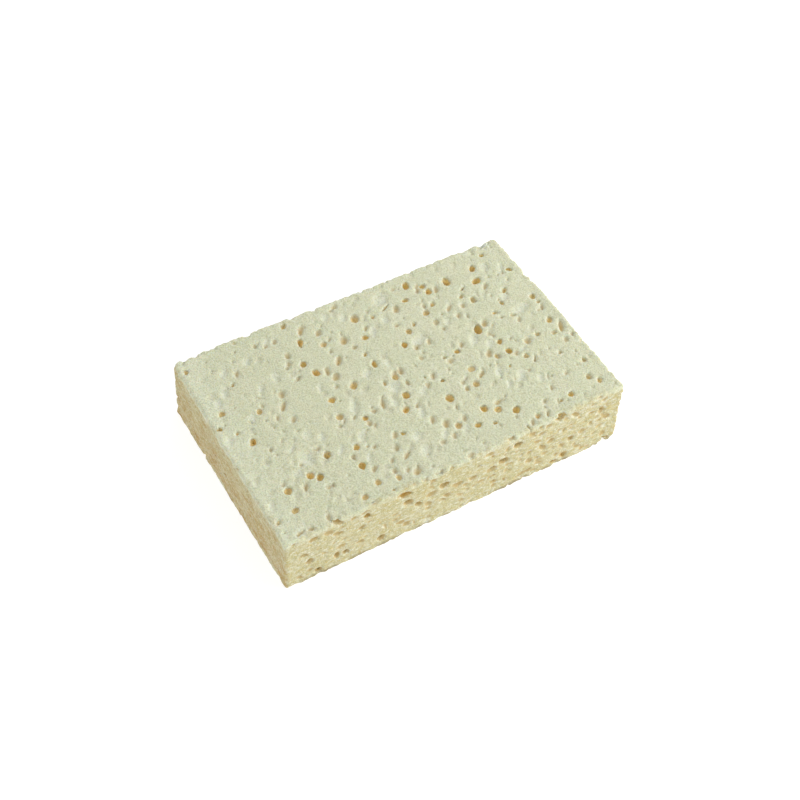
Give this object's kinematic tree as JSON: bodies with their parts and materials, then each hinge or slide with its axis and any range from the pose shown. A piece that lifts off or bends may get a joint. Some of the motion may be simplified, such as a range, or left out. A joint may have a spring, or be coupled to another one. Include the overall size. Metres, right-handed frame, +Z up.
{
  "type": "cellulose scrub sponge",
  "caption": "Rectangular block of dry open-celled cellulose foam for washing up and wiping, pores open on every side.",
  "frame": {"origin": "middle of the lower broad face, in the plane that the sponge rests on", "axes": "+X along the length, +Z up through the thickness, and the long side that faces -Y is the front"},
  "size_m": [0.12, 0.0762, 0.0247],
  "materials": {
    "cellulose_foam": "dry open-celled cellulose foam, pale greenish cream, matt and slightly rough, with tan pore floors"
  },
  "bodies": {
    "root": {"sponge": "cellulose_foam"}
  },
  "joints": []
}
